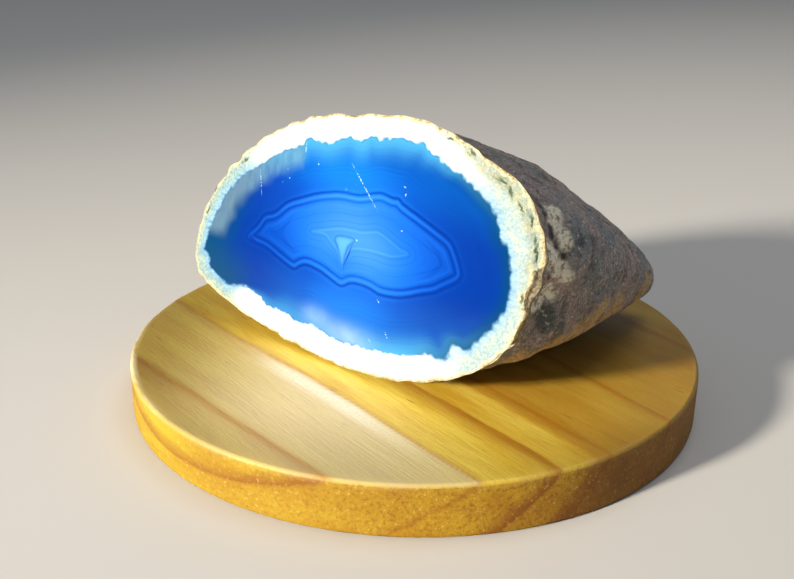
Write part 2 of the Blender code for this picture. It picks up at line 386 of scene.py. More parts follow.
def patch_share(place, name):
    """How much of a husk patch each point has, from 0 to 1: soft spots broken up by grit of three sizes."""
    broken = 0.45 * grit(place, 3.1, 31) + 0.40 * grit(place, 1.5, 32) + 0.3 * grit(place, 0.9, 33)
    near = np.zeros(place.shape[:-1])
    for at_x, at_y, at_z, reach in HUSK_PATCHES[name]:
        away = np.linalg.norm(place - (at_x, at_y, at_z), axis=-1) / reach
        near = np.maximum(near, np.exp(-(away**2)))
    return rise(1.15 * near + 0.5 * broken, 0.30, 0.66)


def husk_relief(rings, along, angle):
    """How far the husk stands out, and how deep each point lies in the fine relief, from 0 to 1.

    The sum of lumps at the rim, largest on its right side, broad waves, a ledge and a
    crest behind the rim's right side, crust, a crack, grit of three sizes, and pits.
    """
    behind = rise(along, 0.0, 0.08)
    lumpy = np.exp(-((turn_between(angle, math.radians(25)) / math.radians(38)) ** 4))
    lumps = (0.22 + 0.10 * lumpy) * waves(rings, 0.0042, 3) + 0.24 * lumpy * grit(rings, 0.0024, 26)
    relief = 0.001 * lumps * (1 - rise(along, 0.02, 0.12))
    relief += (0.0006 * waves(rings, 0.016, 5) + 0.0002 * waves(rings, 0.0055, 8)) * behind
    beside = np.exp(-((turn_between(angle, 0.0) / math.radians(46)) ** 4))
    ledge = rise(along, 0.01, 0.035) * (1 - rise(along, 0.11, 0.14))
    crest = rise(along, 0.11, 0.14) * (1 - rise(along, 0.18, 0.30))
    relief += beside * (0.0006 * crest - 0.0010 * ledge)
    crust = patch_share(rings * 1000, "crust")
    relief += 0.00050 * crust * (0.55 + 0.45 * grit(rings, 0.0013, 25))
    relief -= 0.00045 * patch_share(rings * 1000, "crack")
    coarse, middle, small = grit(rings, 0.0026, 21), grit(rings, 0.0013, 22), grit(rings, 0.0008, 23)
    fine = 0.00013 * coarse + 0.00011 * middle + 0.00006 * small
    pits = rise(grit(rings, 0.0019, 24), 0.35, 0.75)
    deep = np.clip(0.9 * pits + 0.5 * rise(-middle - 0.6 * small, 0.15, 0.9), 0.0, 1.0)
    return relief + fine * (0.5 + 0.5 * behind) - 0.00030 * pits * behind, deep * behind


def nodule_rings():
    """Rings parallel to the cut, from its outline to the tip, in the nodule's own axes.

    A ring is (1 - along^taper) of the outline and along^taper of a small circle, plus
    the swells, times sqrt(1 - along^squareness), set on the bowed centre line.
    """
    outline = closed_curve(CUT_OUTLINE, COLUMNS)
    angle = np.arctan2(outline[:, 1] / HALF_HEIGHT, outline[:, 0] / HALF_WIDTH)
    along = (1 - (1 - np.linspace(0.0, 1.0, ROWS)) ** TIP_CROWDING)[:, None]
    across = (1 - along**WIDTH_TAPER) * outline[:, 0] + along**WIDTH_TAPER * TIP_RADIUS * np.cos(angle)
    up = (1 - along**HEIGHT_TAPER) * outline[:, 1] + along**HEIGHT_TAPER * TIP_RADIUS * np.sin(angle)
    radius = np.hypot(across, up)
    scale = (radius + swelling(along, angle)) / radius * np.sqrt(np.clip(1 - along**TIP_SQUARENESS, 0.0, 1.0))
    rings = np.stack([across * scale, up * scale, np.zeros_like(across)], axis=-1)
    radius = np.hypot(rings[..., 0], rings[..., 1])[..., None]
    outward = rings / np.maximum(radius, 1e-9)
    rings = rings + (along * np.array(TIP_END) + 4 * along * (1 - along) * np.array(CENTRE_BOW))[:, None, :]
    relief, deep = husk_relief(rings, along, angle)
    rings = rings + outward * relief[..., None] * np.clip(radius / TIP_RADIUS, 0.0, 1.0)
    lowest = (REST_HEIGHT - FACE_CENTRE[2] - rings[..., 2] * math.sin(FACE_LEAN)) / math.cos(FACE_LEAN)
    rings[..., 1] = np.maximum(rings[..., 1], lowest)
    return rings, deep


def face_rings(rim):
    """Rings on the cut, from its rim inward to a line along its middle that closes them.

    A ring is share s of the rim and 1 - s of the line, whose points run as the cosine
    of the index, so that the two sides of the last ring meet point by point. The rings
    lie closer together over the rind, the outer 14% of the way.
    """
    steps = np.linspace(0.0, 1.0, FACE_RINGS)
    share = np.interp(steps, (0.0, 0.28, 1.0), (1.0, 0.86, 0.0))[1:, None, None]
    spine = np.zeros_like(rim)
    spine[:, 0] = SPINE_SHARE * HALF_WIDTH * np.cos(np.arange(COLUMNS) * 2 * math.pi / COLUMNS)
    return share * rim + (1 - share) * spine


def sunk(points, rim):
    """How far in mm the cut lies below its plane, from its place and its distance to the rim.

    Chips fade over 0.9 mm from the rim, where grit is high. The crusty outer side is
    rough, and 0.8 mm are lost where the rim is broken away. A hollow is a bell along
    its length and across its width.
    """
    x, y = points[..., 0], points[..., 1]
    chips = rise(0.9 - rim, 0.0, 0.9) * rise(grit(points, 1.7, 61), 0.05, 0.75)
    broken = rough_edge(x, y, rim)
    depth = 0.32 * chips + broken * (0.16 + 0.16 * grit(points, 1.5, 62) + 0.08 * grit(points, 0.9, 63))
    depth += BROKEN_DEPTH_MM * broken_rim(x, y, rim)
    bend = 0.25 * grit(points, 1.2, 64)
    for at_x, at_y, slope, long, wide, deep in HOLLOWS:
        turn = math.radians(slope)
        ahead = (x - at_x) * math.cos(turn) + (y - at_y) * math.sin(turn)
        aside = (y - at_y) * math.cos(turn) - (x - at_x) * math.sin(turn) + bend
        depth += deep * np.exp(-((ahead / long) ** 4) - (aside / wide) ** 2)
    return depth


def rough_edge(x, y, rim):
    """Share of crust on the rind's outer side: widest at the right, thin at the top, none at the bottom."""
    width = 0.25 + 2.9 * rise(x, 10, 31) * rise(y, -8, 5) + 0.5 * rise(-x, 20, 33)
    return 1 - rise(rim, 0.55 * width, 1.25 * width)


def lost_rim(x, y):
    """Width in mm of the strip of rim broken away on the right: widest at a step 4 mm up, thinning downward."""
    below = rise(4.0 - y, 0.0, 0.7)
    return BROKEN_WIDTH_MM * below * (1 - 0.7 * rise(-y, -1.5, 4.0) - 0.3 * rise(-y, 5, 11)) * rise(x, 24, 31)


def broken_rim(x, y, rim):
    """Share of each point that lies in the broken strip."""
    width = lost_rim(x, y)
    return (1 - rise(rim, 0.8 * width, 1.1 * width + 0.01)) * rise(width, 0.05, 0.3)


def keep_fields(mesh, fields):
    """Keep each named array on the mesh's points, as numbers or as vectors."""
    for name, value in fields.items():
        vector = value.ndim == 2
        kept = mesh.attributes.new(name, "FLOAT_VECTOR" if vector else "FLOAT", "POINT")
        kept.data.foreach_set("vector" if vector else "value", value.astype(np.float32).ravel())


def make_nodule():
    """The stone's mesh: husk rings and the tip, then the cut's rings, with fields kept on its points."""
    rings, deep = nodule_rings()
    rim = rings[0, :, :2] * 1000
    cut = face_rings(rings[0])
    from_rim = depth_inside(cut[..., :2].reshape(-1, 2) * 1000, rim[::2]).reshape(cut.shape[:2])
    cut[..., 2] -= sunk(cut * 1000, from_rim) / 1000
    rings[0, :, 2] -= sunk(rings[0] * 1000, np.zeros(COLUMNS)) / 1000
    husk = rings[:-1].reshape(-1, 3)
    points = np.concatenate([husk, rings[-1, :1], cut[:-1].reshape(-1, 3), cut[-1, :COLUMNS // 2 + 1]])

    column = np.arange(COLUMNS)
    beside = (column + 1) % COLUMNS
    low = np.arange(ROWS - 2)[:, None] * COLUMNS
    up = low + COLUMNS
    body = np.stack([low + column, up + column, up + beside, low + beside], axis=-1)
    last = (ROWS - 2) * COLUMNS
    tip = len(husk)
    cap = np.stack([last + column, np.full(COLUMNS, tip), last + beside], axis=-1)
    numbers = np.empty((FACE_RINGS, COLUMNS), int)
    numbers[0] = column
    numbers[1:-1] = tip + 1 + np.arange((FACE_RINGS - 2) * COLUMNS).reshape(-1, COLUMNS)
    numbers[-1] = tip + 1 + (FACE_RINGS - 2) * COLUMNS + np.minimum(column, COLUMNS - column)
    outer, inner = numbers[:-1], numbers[1:]
    face = np.stack([outer, outer[:, beside], inner[:, beside], inner], axis=-1)

    turn = np.array(Euler((math.pi / 2 - FACE_LEAN, 0.0, -FACE_TURN)).to_matrix())
    mesh = bpy.data.meshes.new("agate_nodule_stone")
    polygons = body.reshape(-1, 4).tolist() + cap.tolist() + face.reshape(-1, 4).tolist()
    mesh.from_pydata((points @ turn.T + FACE_CENTRE).tolist(), [], polygons)
    slots = np.zeros(len(polygons), np.int32)
    slots[-face.shape[0] * COLUMNS:] = 1
    mesh.polygons.foreach_set("material_index", slots)
    mesh.shade_smooth()
    mesh.set_sharp_from_angle(angle=SHARP_ANGLE)

    # The husk's points have no bands, and the cut's own points have no patches of husk. The ring that
    # they share is rough.
    place = points * 1000
    fields = {"place_mm": place}
    for name, value in cut_fields(place[tip + 1:], rim[::2]).items():
        beyond = np.full((tip + 1, *value.shape[1:]), BEYOND_CUT.get(name, 0.0))
        fields[name] = np.concatenate([beyond, value])
    fields["rough"][:COLUMNS] = 1.0
    husk_only = {name: patch_share(place[:tip + 1], name) for name in HUSK_PATCHES}
    husk_only["behind_mm"] = -place[:tip + 1, 2]
    husk_only["deep"] = np.append(deep[:-1].ravel(), 0.0)
    for name, value in husk_only.items():
        fields[name] = np.concatenate([value, np.zeros(len(place) - tip - 1)])
    keep_fields(mesh, fields)
    return put_in_scene("agate_nodule_stone", mesh)


def bells(x, y, rows):
    """The sum of bells over the cut: each row's amount times e to minus the squared share of its reach."""
    return sum(
        amount * np.exp(-(((x - at_x) / wide) ** 2) - ((y - at_y) / high) ** 2)
        for at_x, at_y, wide, high, amount in rows)


def cut_fields(place, rim_ring):
    """What the bands are at each point of the cut, in millimetres across and up.

    Depths are distances inside a line, in millimetres. The level runs from 0 at the
    rind to 1 at the double band and 2 at the eye, as the share of the way between
    two lines, so that it follows the shape of both. The spoke's noise is drawn out
    from the rim inward. The rest are shares from 0 to 1.
    """
    x, y, flat = place[:, 0], place[:, 1], place[:, :2]
    rind, band, eye, patch = (
        depth_inside(flat, closed_curve(line, finer * len(line)))
        for line, finer in ((RIND_EDGE, 4), (DOUBLE_BAND, 4), (EYE_LINE, 5), (EYE_PATCH, 6)))
    rim = depth_inside(flat, rim_ring)
    between = np.maximum(band, 0) / np.maximum(np.maximum(band, 0) - np.minimum(eye, 0), 1e-6)
    level = np.where(band < 0, rind / np.maximum(rind - band, 1e-6), 1 + between + np.maximum(eye, 0) / 3)

    inside = np.maximum(rind, 0)
    top, bottom = rise(y, 4, 12), rise(-y, 3, 11)
    left, right = rise(-x, 17, 31), rise(x, 14, 28)
    glow = 0.02 + 0.20 * rise(band, -0.3, 0.3) + bells(x, y, GLOWS)
    cyan_reach = 3.1 * bottom * (1 - 0.5 * right) * (1 - rise(-x, 10, 24))
    cyan_reach = 0.5 + 3.2 * top * (1 - 0.75 * rise(x, 9, 22)) + cyan_reach
    cyan = np.exp(-((inside / cyan_reach) ** 2)) * np.clip(top + bottom * (0.78 + 0.2 * rise(x, 0, 8)), 0, 1)
    azure = np.exp(-((inside / 7.5) ** 2)) * (rise(y, 4, 10) + 0.7 * rise(-y, 4, 9)) * (1 - rise(-x, 12, 22))
    dusk = np.exp(-((inside / (1.8 + 6.2 * left)) ** 2)) * np.clip(left + 0.9 * right, 0, 1)
    frost_reach = 3.9 + 0.5 * left + 0.5 * grit(place, 2.2, 65)
    frost = 1 - rise(inside, frost_reach - 2.4, frost_reach + 1.0)
    frost *= (1 - rise(x + 0.1 * (y - 13), -12.4, -12.0)) * rise(y, -7.6, -4.8) * rise(-x, 11.5, 11.9)
    turned = np.arctan2(y / HALF_HEIGHT, x / HALF_WIDTH)
    return dict(
        rind_mm=rind, band_mm=band, eye_mm=eye, patch_mm=patch, rim_mm=rim - lost_rim(x, y), level=level,
        glow=glow, cyan=cyan, azure=azure, dusk=dusk, frost=frost, milk=bells(x, y, MILKY),
        lip=np.maximum(0.9 * rise(x, 16, 30), rise(-x, 18, 29)), rough=rough_edge(x, y, rim),
        husked=broken_rim(x, y, rim),
        spoke_mm=np.stack([34 * np.cos(turned), 22 * np.sin(turned), 0.25 * rim], axis=1),
    )


stone = make_nodule()


def polished_agate():
    """Banded chalcedony, sawn, ground and polished to a mirror, so glossy and a little milky.

    The rind is white quartz, which scatters all light, and the dye has coloured only
    the bands inside it. Its outer edge kept some unpolished crust, rough and creamy.
    """
    made, tree, shader = start_material("polished_banded_agate")
    place, spoke = (
        add(tree, "Attribute", out="Vector", attribute_name=name) for name in ("place_mm", "spoke_mm"))
    rind, band, eye, patch, rim, level, glow, cyan, azure, dusk, frost, milk, lip, rough, husked = (
        add(tree, "Attribute", out="Fac", attribute_name=name)
        for name in ("rind_mm", "band_mm", "eye_mm", "patch_mm", "rim_mm", "level", "glow", "cyan", "azure",
                     "dusk", "frost", "milk", "lip", "rough", "husked"))
    # Noises: where, how many to a millimetre, detail and roughness. Then the shares made from them.
    combed = add(tree, "Mapping", {"Vector": place, "Scale": (0.75, 0.32, 1.0)})
    cloud, ragged, combed, dashes, mottle, speck, spokes = (
        add(tree, "TexNoise", dict(zip(NOISE, row))) for row in (
            (place, 0.30, 3.0, 0.5), (place, 0.7, 2.5, 0.5), (combed, 1.0, 2.5, 0.55), (place, 2.6, 1.0, 0.5),
            (place, 0.6, 5.0, 0.68), (place, 2.2, 3.0, 0.7), (spoke, 1.1, 3.0, 0.65)))
    shade, dashes, mixed, parted, radial, crumbs, spots = (
        add(tree, "MapRange", {0: noise, 1: start, 2: end}) for noise, start, end in (
            (combed, 0.20, 0.80), (dashes, 0.42, 0.60), (speck, 0.36, 0.62), (speck, 0.50, 0.62),
            (spokes, 0.36, 0.62), (mottle, 0.38, 0.60), (mottle, 0.44, 0.54)))

    # The rind's inner edge: round white bulges about 1.3 mm wide, with a little grit.
    bulges = add(tree, "TexVoronoi", {"Vector": place, "Scale": 0.72, "Smoothness": 0.25}, out="Distance",
                 feature="SMOOTH_F1")
    edge = rind
    for part, amount in ((ragged, 0.85), (bulges, 0.65), (1.0, -0.78)):
        edge = add(tree, "Math", {0: part, 1: amount, 2: edge}, **TIMES_PLUS)
    in_blue = add(tree, "MapRange", {0: edge, 1: -0.32, 2: 0.38}, interpolation_type="SMOOTHSTEP")

    # The blue: growth lines as dips of tone along the level, then the double band, the eye and its patch
    # across their lines in mm. A row gives the field, its range, how much it counts, and its tones.
    warped = add(tree, "Math", {0: cloud, 1: 0.05, 2: level}, **TIMES_PLUS)
    thread = add(tree, "TexNoise", {"W": warped, "Scale": 24.0, "Detail": 2.5, "Roughness": 0.7},
                 noise_dimensions="1D")
    thread = add(tree, "Math", {0: thread, 1: 0.5}, operation="SUBTRACT")
    tone = add(tree, "Math", {0: thread, 1: 0.09, 2: glow}, **TIMES_PLUS)
    for field, start, end, amount, dips in (
            (level, 0.0, 2.2, 0.30, (
                (0.0, 0.5), (0.30, 0.56), (0.50, 0.46), (0.66, 0.52), (0.82, 0.47), (1.0, 0.5), (1.30, 0.52),
                (1.33, 0.30), (1.36, 0.50), (1.56, 0.52), (1.58, 0.38), (1.60, 0.50), (1.74, 0.54),
                (1.77, 0.28), (1.80, 0.54), (1.90, 0.56), (1.92, 0.42), (1.94, 0.54), (2.2, 0.56))),
            (band, -2.0, 4.0, 0.90, (
                (-1.1, 0.50), (-0.55, 0.58), (-0.30, 0.48), (0.0, 0.04), (0.30, 0.38), (0.62, 0.62),
                (0.92, 0.46), (1.22, 0.14), (1.55, 0.42), (2.1, 0.58), (2.7, 0.50), (3.2, 0.50), (3.4, 0.42),
                (3.6, 0.50))),
            (eye, -0.8, 0.8, 0.55, (
                (-0.75, 0.50), (-0.42, 0.40), (-0.18, 0.58), (0.0, 0.78), (0.2, 0.58), (0.40, 0.50),
                (0.75, 0.54))),
            (patch, -0.5, 0.7, 0.65, (
                (-0.45, 0.50), (-0.17, 0.22), (0.08, 0.66), (0.35, 0.90), (0.7, 0.96)))):
        part = add(tree, "MapRange", {0: field, 1: start, 2: end})
        part = add(tree, "ValToRGB", {0: part}, stops=[
            ((at - start) / (end - start), (dip, dip, dip, 1.0)) for at, dip in dips])
        tone = add(tree, "Math", {0: part, 1: amount, 2: tone}, **TIMES_PLUS)
    # The sum runs from about 1.2 to 2.8, spread over the blues.
    tone = add(tree, "MapRange", {0: tone, 1: 1.225, 2: 2.825})
    blue = add(tree, "ValToRGB", {0: tone}, stops=[
        (0.0, "#002676"), (0.18, "#033790"), (0.38, "#1153b2"), (0.50, "#2160b8"), (0.62, "#336fbf"),
        (0.78, "#4684c6"), (1.0, "#7eaed6")])

    # Near the rind the dye is thinner: azure, then cyan above and below, dusky at the ends, frosted at
    # upper left, milky at the bottom.
    blue = add(tree, "Mix", {0: azure, 6: blue, 7: (0.42, 1.8, 1.15, 1.0)}, **RGBA, blend_type="MULTIPLY")
    thin = add(tree, "Math", {0: thread, 1: 0.4, 2: cyan}, **TIMES_PLUS)
    thin = add(tree, "Math", {0: thin, 1: cyan}, **TIMES)
    veil = add(tree, "Mix", {0: shade, 6: "#35617f", 7: "#547e97"}, **RGBA)
    ashen = add(tree, "Math", {0: lip, 1: 0.8}, **TIMES)
    veil = add(tree, "Mix", {0: ashen, 6: veil, 7: "#566c7c"}, **RGBA)
    veiled = add(tree, "Math", {0: combed, 1: 0.25, 2: 0.62}, **TIMES_PLUS)
    veiled = add(tree, "Math", {0: veiled, 1: frost}, **TIMES, use_clamp=True)
    milky = add(tree, "Math", {0: cloud, 1: 0.5}, operation="ADD")
    milky = add(tree, "Math", {0: milky, 1: milk}, **TIMES, use_clamp=True)

    # Scratches, flaws and the hollows in the rind as drawn-out spots, far deeper than the relief. The
    # hollows bend with the crust.
    bent = add(tree, "TexNoise", {"Vector": place, "Scale": 0.9, "Detail": 2.0}, out="Color")
    bent = add(tree, "VectorMath", {0: bent, 1: (1.3, 1.3, 0.0), 2: place}, **TIMES_PLUS)
    bent = add(tree, "VectorMath", {0: bent, 1: (0.65, 0.65, 0.0)}, operation="SUBTRACT")
    shares = []
    for table, where in ((SCRATCHES, place), (FLAWS, place), (HOLLOWS, bent)):
        share = 0.0
        for at_x, at_y, slope, long, wide, *_ in table:
            moved = add(tree, "Mapping", {
                "Vector": where, "Location": (at_x, at_y, 0.0), "Rotation": (0.0, 0.0, math.radians(slope)),
                "Scale": (long, wide, 50.0)}, vector_type="TEXTURE")
            spot = add(tree, "TexGradient", {"Vector": moved}, gradient_type="SPHERICAL")
            share = add(tree, "Math", {0: spot, 1: share}, operation="MAXIMUM")
        shares.append(share)
    marks, flaw, crevice = shares
    flaw = add(tree, "MapRange", {0: flaw, 2: 0.7, 4: 0.7})
    marks = add(tree, "Math", {0: marks, 1: dashes}, **TIMES)
    marks = add(tree, "MapRange", {0: marks, 1: 0.05, 2: 0.5, 4: 0.62})
    # A dark line along the rind's inner edge, in places: partly the stone's own line, partly painted shadow of
    # chipped edges.
    seam_and_shadow = add(tree, "MapRange", {0: edge, 1: 0.55, 2: 0.12})
    broken = add(tree, "MapRange", {0: ragged, 1: 0.44, 2: 0.56, 4: 0.75})
    seam_and_shadow = add(tree, "Math", {0: seam_and_shadow, 1: broken}, **TIMES)
    for share, colour in ((thin, "#367fac"), (dusk, "#013459"), (veiled, veil), (milky, "#6c8cbc"),
                          (flaw, "#0a1c66"), (marks, "#a9c8de"), (seam_and_shadow, "#0b3f66")):
        blue = add(tree, "Mix", {0: share, 6: blue, 7: colour}, **RGBA)

    # The rind: white above and below, bluish with fine spokes at the ends, and creamy broken crust on
    # its outer side. Where the rim is broken away on the right the husk shows.
    clods = add(tree, "TexVoronoi", {"Vector": bent, "Scale": 0.85}, out="Distance", feature="DISTANCE_TO_EDGE")
    inner = add(tree, "MapRange", {0: edge, 1: -1.6, 2: 0.0}, interpolation_type="SMOOTHSTEP")
    quartz, grey, outer, crust, bared = (
        add(tree, "Mix", {0: share, 6: one, 7: other}, **RGBA) for share, one, other in (
            (inner, "#e2e4e2", "#bccfe4"), (radial, "#4a7692", "#7a9db6"), (mixed, "#5b767c", "#889d9a"),
            (crumbs, "#626e66", "#9a9876"), (mixed, "#40382e", "#7b7059")))
    grey = add(tree, "Mix", {0: inner, 6: outer, 7: grey}, **RGBA)
    creamy = add(tree, "Math", {0: inner, 1: -0.16, 2: mottle}, **TIMES_PLUS)
    creamy = add(tree, "MapRange", {0: creamy, 1: 0.49, 2: 0.61, 4: 0.5})
    grey = add(tree, "Mix", {0: creamy, 6: grey, 7: "#a3a588"}, **RGBA)
    crust = add(tree, "Mix", {0: mixed, 6: crust, 7: "#999e8e"}, **RGBA)
    crusted = add(tree, "Math", {0: mottle, 1: 1.7}, **TIMES)
    crusted = add(tree, "Math", {0: crusted, 1: rough}, **TIMES, use_clamp=True)
    cream = add(tree, "Math", {0: mottle, 1: -3.0, 2: rim}, **TIMES_PLUS)
    cream = add(tree, "MapRange", {0: cream, 1: -0.70, 2: -1.15})
    rust = add(tree, "Math", {0: speck, 1: -1.4, 2: rim}, **TIMES_PLUS)
    rust = add(tree, "MapRange", {0: rust, 1: -0.30, 2: -0.60, 4: 0.8})
    rusty = add(tree, "SeparateXYZ", {0: place}, out="X")
    rusty = add(tree, "MapRange", {0: rusty, 1: -24.0, 2: -12.0, 3: 0.25, 4: 1.0})
    # Painted shade in the gaps between the crust's clods.
    between = add(tree, "MapRange", {0: clods, 1: 0.16, 2: 0.02, 4: 0.8})
    for limit in (spots, rusty):
        rust = add(tree, "Math", {0: rust, 1: limit}, **TIMES)
    for limit in (parted, crusted):
        between = add(tree, "Math", {0: between, 1: limit}, **TIMES)
    # The hollows' dark green is partly their own colour and partly painted shade in them.
    crevice = add(tree, "MapRange", {0: crevice, 1: 0.08, 2: 0.60, 4: 0.95})
    for share, colour in ((lip, grey), (crusted, crust), (cream, "#aaa68a"), (rust, "#8a6a34"),
                          (between, "#4d5636"), (crevice, "#45543a"), (husked, bared)):
        quartz = add(tree, "Mix", {0: share, 6: quartz, 7: colour}, **RGBA)

    # The dyed part has the mirror polish; the rind is duller, and its crust is matt and grained.
    colour = add(tree, "Mix", {0: in_blue, 6: quartz, 7: blue}, **RGBA)
    gloss = add(tree, "MapRange", {0: in_blue, 3: 0.30, 4: 0.09})
    dull = add(tree, "Math", {0: rough, 1: 0.4, 2: gloss}, **TIMES_PLUS)
    polished = add(tree, "Math", {0: 1.0, 1: in_blue}, operation="SUBTRACT")
    grain = add(tree, "Math", {0: rough, 1: 5.0, 2: 1.0}, **TIMES_PLUS)
    for limit in (speck, polished):
        grain = add(tree, "Math", {0: grain, 1: limit}, **TIMES)
    heaped = add(tree, "MapRange", {0: clods, 2: 0.30, 4: 5.0})
    grain = add(tree, "Math", {0: heaped, 1: crusted, 2: grain}, **TIMES_PLUS)
    bump = add(tree, "Bump", {"Height": grain, "Strength": 0.4, "Distance": 0.0001})
    plug(tree, shader, {"Base Color": colour, "Roughness": dull, "Specular IOR Level": 0.2, "Normal": bump})
    return made


def weathered_husk():
    """The skin that grew against the host rock: clay-stained silica, matt, with tiny pits and glints."""
    made, tree, shader = start_material("weathered_husk")
    place = add(tree, "Attribute", out="Vector", attribute_name="place_mm")
    behind, crust, crack, moss, ochre_and_bounce, slate, deep = (
        add(tree, "Attribute", out="Fac", attribute_name=name)
        for name in ("behind_mm", "crust", "crack", "moss", "ochre_and_bounce", "slate", "deep"))
    # Fine flecks are a little longer across the stone than along it, about 0.3 mm by 0.6 mm.
    streaked = add(tree, "Mapping", {"Vector": place, "Scale": (1.7, 1.5, 2.1)})
    broad, fine, grain, specks = (
        add(tree, "TexNoise", dict(zip(NOISE, row))) for row in (
            (place, 0.20, 6.0, 0.68), (streaked, 1.0, 4.0, 0.75), (place, 2.1, 2.0, 0.6),
            (place, 1.5, 1.5, 0.6)))
    base = add(tree, "ValToRGB", {0: broad}, stops=[
        (0.30, "#727c7e"), (0.42, "#8b837d"), (0.52, "#9a8c84"), (0.62, "#a89189"), (0.72, "#ad9876")])
    # The ochre share is partly stain and partly painted light bounced up from the board.
    cold, stain_and_bounce, dark, painted_crack_shade = (
        add(tree, "Math", {0: share, 1: amount}, **TIMES)
        for share, amount in ((slate, 0.55), (ochre_and_bounce, 0.75), (moss, 0.7), (crack, 0.9)))
    base = add(tree, "Mix", {0: cold, 6: base, 7: "#66767b"}, **RGBA)
    tint = add(tree, "MapRange", {0: fine, 1: 0.32, 2: 0.68, 3: 0.52, 4: 1.55})
    base = add(tree, "VectorMath", {0: base, 3: tint}, operation="SCALE")
    specks = add(tree, "MapRange", {0: specks, 1: 0.61, 2: 0.65, 4: 0.75})
    # Dark spots painted as the shade of tiny pits.
    pit_shade_spots = add(tree, "MapRange", {0: grain, 1: 0.42, 2: 0.37, 4: 0.55})
    # Chalky crust: crumbs about 0.8 mm across with brown between them. The near-white chalk is partly painted
    # light, and the brown between the crumbs partly painted shade.
    crumbs = add(tree, "TexVoronoi", {"Vector": streaked, "Scale": 0.62}, out="Distance")
    crumbs = add(tree, "Math", {0: grain, 1: 1.8, 2: crumbs}, **TIMES_PLUS)
    crumbs = add(tree, "MapRange", {0: crumbs, 1: 1.36, 2: 1.86})
    chalk = add(tree, "Mix", {0: crumbs, 6: "#fff6dc", 7: "#a08c76"}, **RGBA)
    # Painted shade in the pits and low places of the fine relief, except on the crust.
    painted_pit_shade = add(tree, "Math", {0: crust, 1: -0.9, 2: 1.0}, **TIMES_PLUS)
    painted_pit_shade = add(tree, "Math", {0: painted_pit_shade, 1: deep}, **TIMES, use_clamp=True)
    painted_pit_shade = add(tree, "Math", {0: painted_pit_shade, 1: 0.62}, **TIMES)
    # A stain and a bright fringe just behind the rim.
    fringe = add(tree, "Math", {0: fine, 1: -3.0, 2: behind}, **TIMES_PLUS)
    stain = add(tree, "MapRange", {0: fringe, 1: 0.1, 2: -0.7})
    bright = add(tree, "MapRange", {0: fringe, 1: -0.9, 2: -1.3})
    # The crack's dark colour is painted shade in it.
    for share, colour in ((stain_and_bounce, "#cfab6a"), (dark, "#3a4a46"), (specks, "#cdbfae"), (pit_shade_spots, "#3a342f"),
                          (crust, chalk), (painted_pit_shade, "#3d3630"), (painted_crack_shade, "#2a231d"), (stain, "#8e7a55"),
                          (bright, "#c2b88f")):
        base = add(tree, "Mix", {0: share, 6: base, 7: colour}, **RGBA)
    matt = add(tree, "MapRange", {0: grain, 1: 0.57, 2: 0.64, 3: 0.82, 4: 0.40})
    height = add(tree, "Math", {0: grain, 1: 0.6, 2: fine}, **TIMES_PLUS)
    heaped = add(tree, "Math", {0: crumbs, 1: crust}, **TIMES)
    height = add(tree, "Math", {0: heaped, 1: -0.5, 2: height}, **TIMES_PLUS)
    bump = add(tree, "Bump", {"Height": height, "Strength": 1.0, "Distance": 0.0005})
    plug(tree, shader, {"Base Color": base, "Roughness": matt, "Normal": bump})
    return made


stone.data.materials.append(weathered_husk())
stone.data.materials.append(polished_agate())
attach(stone, "root")
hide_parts("agate_nodule")


# The stand: a disc turned from one flat-sawn pine board, sanded, its edges eased by hand
# and given one thin coat of clear varnish. The log's centre was above and to the left,
# so the growth rings cross the top as long bands and slant down to the left on the rim.
STAND_RADIUS = 0.0508
STAND_THICKNESS = 0.0087
EDGE_ROUND = 0.0006
EDGE_WEAR = 0.00013
RIM_GRIT = 0.00003
STAND_SECTORS = 512
TOP_RINGS = 70
RIM_ROWS = 14
ROUND_STEPS = 6
UNDER_RINGS = 5
# The grain runs to the front right. The log's centre in mm: across the grain, and up.
GRAIN_RUNS = (0.616, -0.788)
LOG_CENTRE = (-100.0, 100.0)


def stand_profile():
    """Radius and height from the underside's middle round to the top's.

    A flat, a quarter round, the rim, a quarter round, and a flat with one more ring
    close to its edge.
    """
    inner = STAND_RADIUS - EDGE_ROUND
    turn = np.linspace(0.0, math.pi / 2, ROUND_STEPS)
    low = np.stack([STAND_RADIUS - EDGE_ROUND * (1 - np.sin(turn)), EDGE_ROUND * (1 - np.cos(turn))], axis=1)
    high = np.stack([low[::-1, 0], STAND_THICKNESS - low[::-1, 1]], axis=1)
    under = np.stack([np.linspace(0.0, inner, UNDER_RINGS), np.zeros(UNDER_RINGS)], axis=1)[:-1]
    rim = np.stack([np.full(RIM_ROWS, STAND_RADIUS), np.linspace(low[-1, 1], high[0, 1], RIM_ROWS)], axis=1)
    steps = np.append(inner, np.linspace(STAND_RADIUS - 1.2 * EDGE_ROUND, 0.0, TOP_RINGS))
    top = np.stack([steps, np.full(TOP_RINGS + 1, STAND_THICKNESS)], axis=1)
    return np.concatenate([under, low, rim[1:-1], high, top[1:]])


def growth_rings(place):
    """Distance in mm from the log's centre line, the radius of the ring at each point.

    Across the grain, the bands fan out a little along it, by (0.03 + 0.0027 across)
    of the way along, and wander by half a millimetre. The other values are the place
    across and along the grain, and across once the bands are straightened.
    """
    across = place[:, 0] * -GRAIN_RUNS[1] + place[:, 1] * GRAIN_RUNS[0]
    along = place[:, 0] * GRAIN_RUNS[0] + place[:, 1] * GRAIN_RUNS[1]
    steady = across + (0.03 + 0.0027 * across) * (along - 20)
    stretched = np.stack([across, along / 5, place[:, 2]], axis=1)
    steady = steady + 0.55 * waves(stretched, 9.0, 41) + 0.15 * waves(stretched, 2.6, 42)
    return np.hypot(steady - LOG_CENTRE[0], place[:, 2] - LOG_CENTRE[1]), across, along, steady


